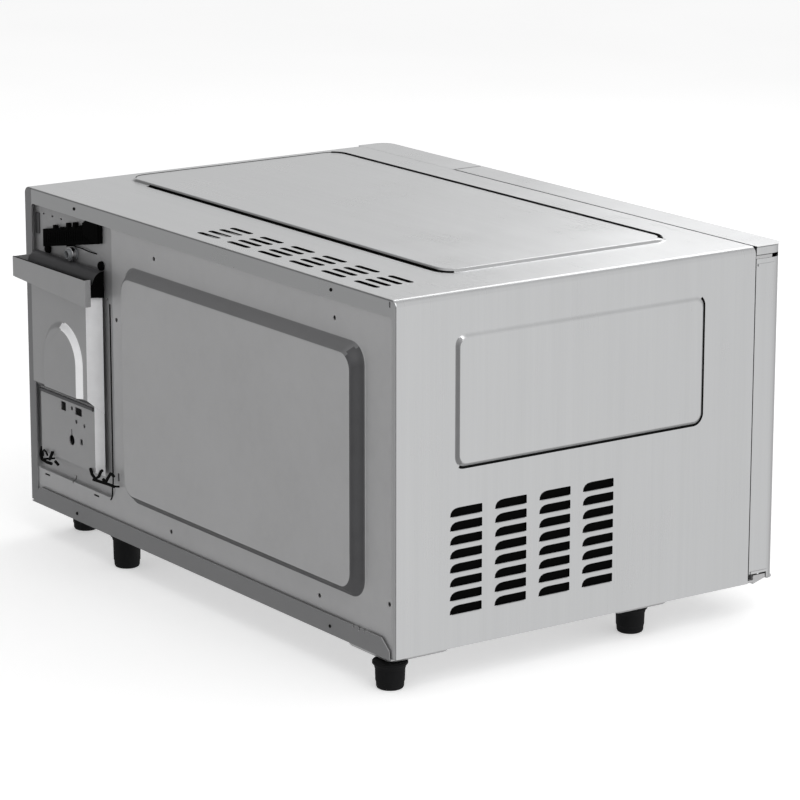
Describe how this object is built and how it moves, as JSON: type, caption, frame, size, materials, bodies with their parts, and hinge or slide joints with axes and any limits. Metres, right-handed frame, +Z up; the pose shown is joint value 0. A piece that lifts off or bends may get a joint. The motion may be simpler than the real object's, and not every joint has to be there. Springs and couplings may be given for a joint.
{
  "type": "reflow oven",
  "caption": "Benchtop reflow oven: steel cabinet with a side-hinged glass door, control panel, sliding board tray, louvred side, vented top and a rear exhaust duct.",
  "frame": {"origin": "on the surface that the feet stand on, under the middle of the whole object's box, from the handle in front to the duct hood behind", "axes": "+Z up, -Y out of the door towards the user, +X to the user's right, the control panel's side"},
  "size_m": [0.585, 0.466, 0.3245],
  "materials": {
    "brushed_steel": "fine vertical brushing, satin",
    "zinc_steel": "plain rolled sheet steel, dull satin, mid grey",
    "enamel": "dark vitreous enamel on steel",
    "chrome": "bright plated steel",
    "rubber_foot": "matt black moulded rubber",
    "black_plastic": "fine textured black moulding",
    "grey_plastic": "fine textured grey moulding",
    "green_plastic": "fine textured green moulding",
    "red_plastic": "fine textured red moulding",
    "window_glass": "clear toughened glass",
    "quartz": "milky quartz tube with ceramic ends",
    "circuit_board": "green solder mask",
    "silicone_seal": "red-brown silicone",
    "mineral_wool": "compressed white mineral wool",
    "laminate": "varnished steel laminations",
    "aluminium": "plain satin aluminium"
  },
  "bodies": {
    "cabinet": {"base_plate": "zinc_steel", "compartment_wall": "zinc_steel", "control_fascia": "brushed_steel", "controller_board": "circuit_board", "convection_motor": "zinc_steel", "cord_gland": "grey_plastic", "display_module": "circuit_board", "display_window": "window_glass", "duct_cover": "zinc_steel", "duct_hood": "zinc_steel", "duct_roll": "zinc_steel", "exhaust_fan_frame": "black_plastic", "fan_baffle": "enamel", "foot_front_left": "rubber_foot", "foot_front_right": "rubber_foot", "foot_rear_left": "rubber_foot", "foot_rear_middle": "rubber_foot", "foot_rear_right": "rubber_foot", "front_frame": "zinc_steel", "heater_lower_front": "quartz", "heater_lower_rear": "quartz", "heater_upper_front": "quartz", "heater_upper_rear": "quartz", "hinge_bracket_bottom": "zinc_steel", "hinge_bracket_top": "zinc_steel", "hinge_pin_bottom": "chrome", "hinge_pin_top": "chrome", "insulation_rear": "mineral_wool", "insulation_sleeve": "mineral_wool", "interlock_switch": "black_plastic", "keypad_board": "circuit_board", "outer_wrapper": "brushed_steel", "oven_chamber": "enamel", "power_transformer": "laminate", "rear_panel": "zinc_steel", "rear_vent_grille": "black_plastic", "relay_heatsink": "aluminium", "switch_housing": "black_plastic", "thermocouple_probe": "chrome", "tray_rail_left": "chrome", "tray_rail_right": "chrome"},
    "door": {"door_shell": "brushed_steel", "door_inner_panel": "enamel", "door_glass_outer": "window_glass", "door_glass_inner": "window_glass", "door_seal": "silicone_seal", "door_strike": "chrome", "handle_grip": "brushed_steel", "handle_post_lower": "chrome", "handle_post_upper": "chrome"},
    "tray": {"pcb_tray": "chrome"},
    "convection_rotor": {"convection_fan": "aluminium"},
    "exhaust_rotor": {"exhaust_fan_rotor": "black_plastic"},
    "knob": {"control_knob": "black_plastic"},
    "rocker": {"power_rocker": "red_plastic"},
    "key_up_body": {"key_up": "grey_plastic"},
    "key_down_body": {"key_down": "grey_plastic"},
    "key_start_body": {"key_start": "green_plastic"},
    "key_stop_body": {"key_stop": "red_plastic"},
    "plunger": {"interlock_plunger": "red_plastic"}
  },
  "joints": [
    {"name": "door_hinge", "type": "hinge", "parent": "cabinet", "child": "door", "pos_m": [-0.286, -0.166, 0.177], "axis": [0, 0, -1], "range_deg": [0, 105]},
    {"name": "tray_slide", "type": "slide", "parent": "cabinet", "child": "tray", "axis": [0, -1, 0], "range_m": [0, 0.156]},
    {"name": "convection_spin", "type": "hinge", "parent": "cabinet", "child": "convection_rotor", "pos_m": [-0.066, 0.122, 0.177], "axis": [0, 1, 0], "continuous": true},
    {"name": "exhaust_spin", "type": "hinge", "parent": "cabinet", "child": "exhaust_rotor", "pos_m": [0.203, 0.182, 0.182], "axis": [0, 1, 0], "continuous": true},
    {"name": "knob_turn", "type": "hinge", "parent": "cabinet", "child": "knob", "pos_m": [0.2135, -0.186, 0.144], "axis": [0, -1, 0], "continuous": true},
    {"name": "rocker_turn", "type": "hinge", "parent": "cabinet", "child": "rocker", "pos_m": [0.2135, -0.182, 0.084], "axis": [1, 0, 0], "range_deg": [0, 14]},
    {"name": "key_up_press", "type": "slide", "parent": "cabinet", "child": "key_up_body", "axis": [0, 1, 0], "range_m": [0, 0.0012], "stiffness_N_per_m": 1500},
    {"name": "key_down_press", "type": "slide", "parent": "cabinet", "child": "key_down_body", "axis": [0, 1, 0], "range_m": [0, 0.0012], "stiffness_N_per_m": 1500},
    {"name": "key_start_press", "type": "slide", "parent": "cabinet", "child": "key_start_body", "axis": [0, 1, 0], "range_m": [0, 0.0012], "stiffness_N_per_m": 1500},
    {"name": "key_stop_press", "type": "slide", "parent": "cabinet", "child": "key_stop_body", "axis": [0, 1, 0], "range_m": [0, 0.0012], "stiffness_N_per_m": 1500},
    {"name": "plunger_press", "type": "slide", "parent": "cabinet", "child": "plunger", "axis": [0, 1, 0], "range_m": [0, 0.002], "stiffness_N_per_m": 300}
  ],
  "couplings": [
    {"joint": "tray_slide", "follows": "door_hinge", "m_per_rad": 0.085}
  ]
}
